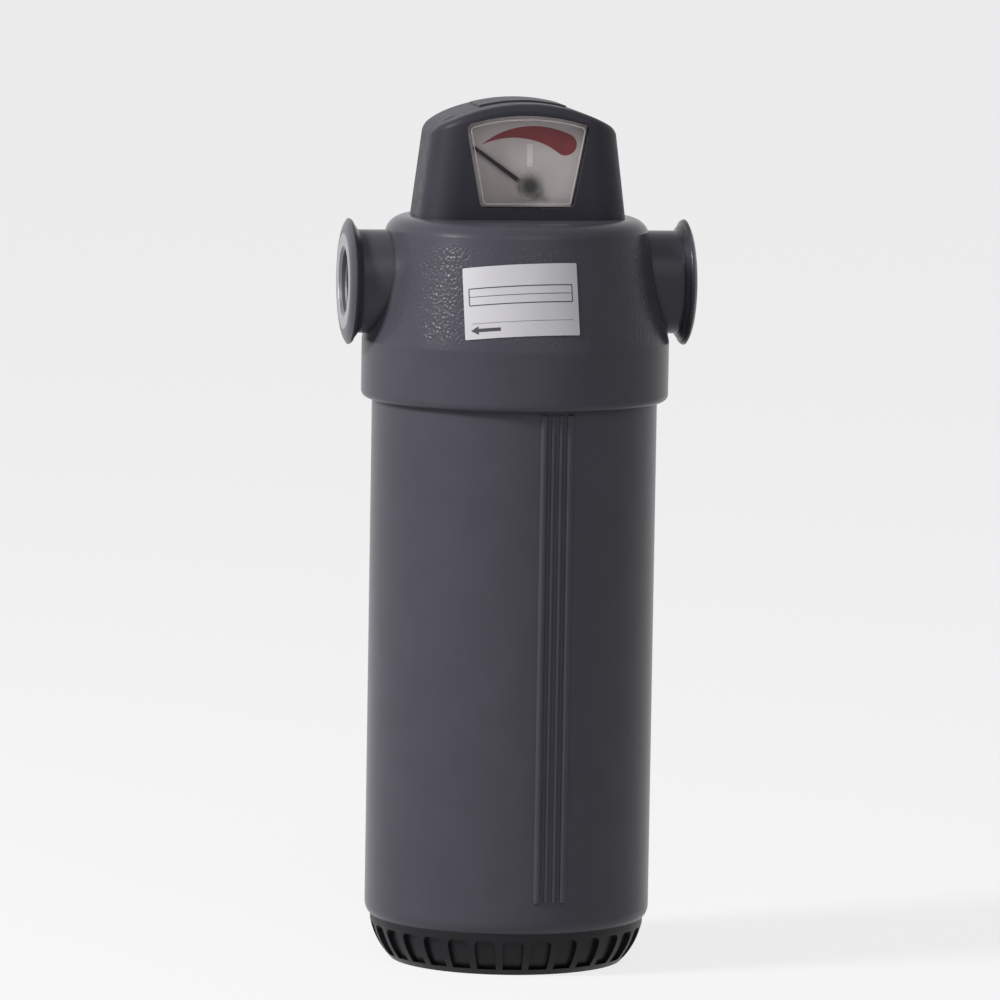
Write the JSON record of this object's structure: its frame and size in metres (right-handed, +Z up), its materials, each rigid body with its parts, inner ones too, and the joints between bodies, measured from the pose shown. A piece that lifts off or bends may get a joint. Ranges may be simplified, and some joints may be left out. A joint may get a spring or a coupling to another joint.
{
  "type": "compressed air micro filter",
  "caption": "Inline compressed-air filter with a screwed bowl, push-fit element, float drain and dial pressure indicator on a two-port head.",
  "frame": {"origin": "middle of the base cap's flat underside, on which the filter stands", "axes": "+Z up along the bowl, +X towards the inlet port, -X towards the outlet port, -Y towards the dial side"},
  "size_m": [0.13, 0.1144, 0.3219],
  "materials": {
    "grey_paint": "satin powder coat",
    "charcoal_plastic": "fine matte",
    "black_plastic": "moulded matte",
    "clear_lens": "clear polished",
    "dial_print": "printed",
    "pointer_paint": "matte",
    "black_rubber": "matte",
    "label_film": "printed film",
    "zinc_steel": "zinc plated",
    "perforated_steel": "expanded mesh",
    "filter_media": "pleated glass fibre",
    "foam": "open-cell foam",
    "element_plastic": "moulded",
    "brass": "turned",
    "white_plastic": "moulded",
    "magnet": "nickel plated"
  },
  "bodies": {
    "bowl_assembly": {"bowl": "grey_paint", "bowl_o_ring": "black_rubber", "base_cap": "black_plastic", "base_cap_screws": "zinc_steel", "drain_body": "brass", "drain_o_ring": "black_rubber", "drain_washer": "zinc_steel", "drain_nut": "brass", "drain_cage": "white_plastic"},
    "drain_knob": {"drain_knob": "black_plastic"},
    "float": {"float": "white_plastic", "valve_pin": "zinc_steel"},
    "element": {"element_top_cap": "element_plastic", "element_o_rings": "black_rubber", "inner_core": "perforated_steel", "filter_media": "filter_media", "outer_core": "perforated_steel", "foam_sleeve": "foam", "element_bottom_cap": "element_plastic"},
    "head": {"filter_head": "grey_paint", "rating_label": "label_film", "indicator_base": "black_plastic", "indicator_front_case": "charcoal_plastic", "indicator_rear_case": "charcoal_plastic", "window_lens": "clear_lens", "window_gasket": "black_rubber", "dial_plate": "dial_print", "piston_spring": "zinc_steel", "piston_end_plug": "brass", "tap_o_rings": "black_rubber", "indicator_screws": "zinc_steel"},
    "piston": {"sensing_piston": "brass", "piston_magnet": "magnet"},
    "pointer": {"pointer": "pointer_paint", "pointer_arbor": "zinc_steel", "pointer_magnet": "magnet"}
  },
  "joints": [
    {"name": "head_lift", "type": "slide", "parent": "bowl_assembly", "child": "element", "axis": [0, 0, 1], "range_m": [0, 0.012]},
    {"name": "head_turn", "type": "hinge", "parent": "element", "child": "head", "pos_m": [0, 0, 0.25], "axis": [0, 0, 1], "range_deg": [0, 1440]},
    {"name": "pointer_turn", "type": "hinge", "parent": "head", "child": "pointer", "pos_m": [0, -0.0168, 0.2907], "axis": [0, 1, 0], "range_deg": [0, 105]},
    {"name": "piston_slide", "type": "slide", "parent": "head", "child": "piston", "axis": [0, 0, 1], "range_m": [0, 0.006], "stiffness_N_per_m": 60, "springref_m": -0.002, "deforming": ["piston_spring"]},
    {"name": "float_rise", "type": "slide", "parent": "bowl_assembly", "child": "float", "axis": [0, 0, 1], "range_m": [0, 0.008]},
    {"name": "drain_knob_turn", "type": "hinge", "parent": "bowl_assembly", "child": "drain_knob", "pos_m": [0, 0, 0.005], "axis": [0, 0, 1], "range_deg": [0, 270]}
  ],
  "couplings": [
    {"joint": "head_lift", "follows": "head_turn", "m_per_rad": 0.00047746},
    {"joint": "pointer_turn", "follows": "piston_slide", "rad_per_m": 305.43}
  ]
}
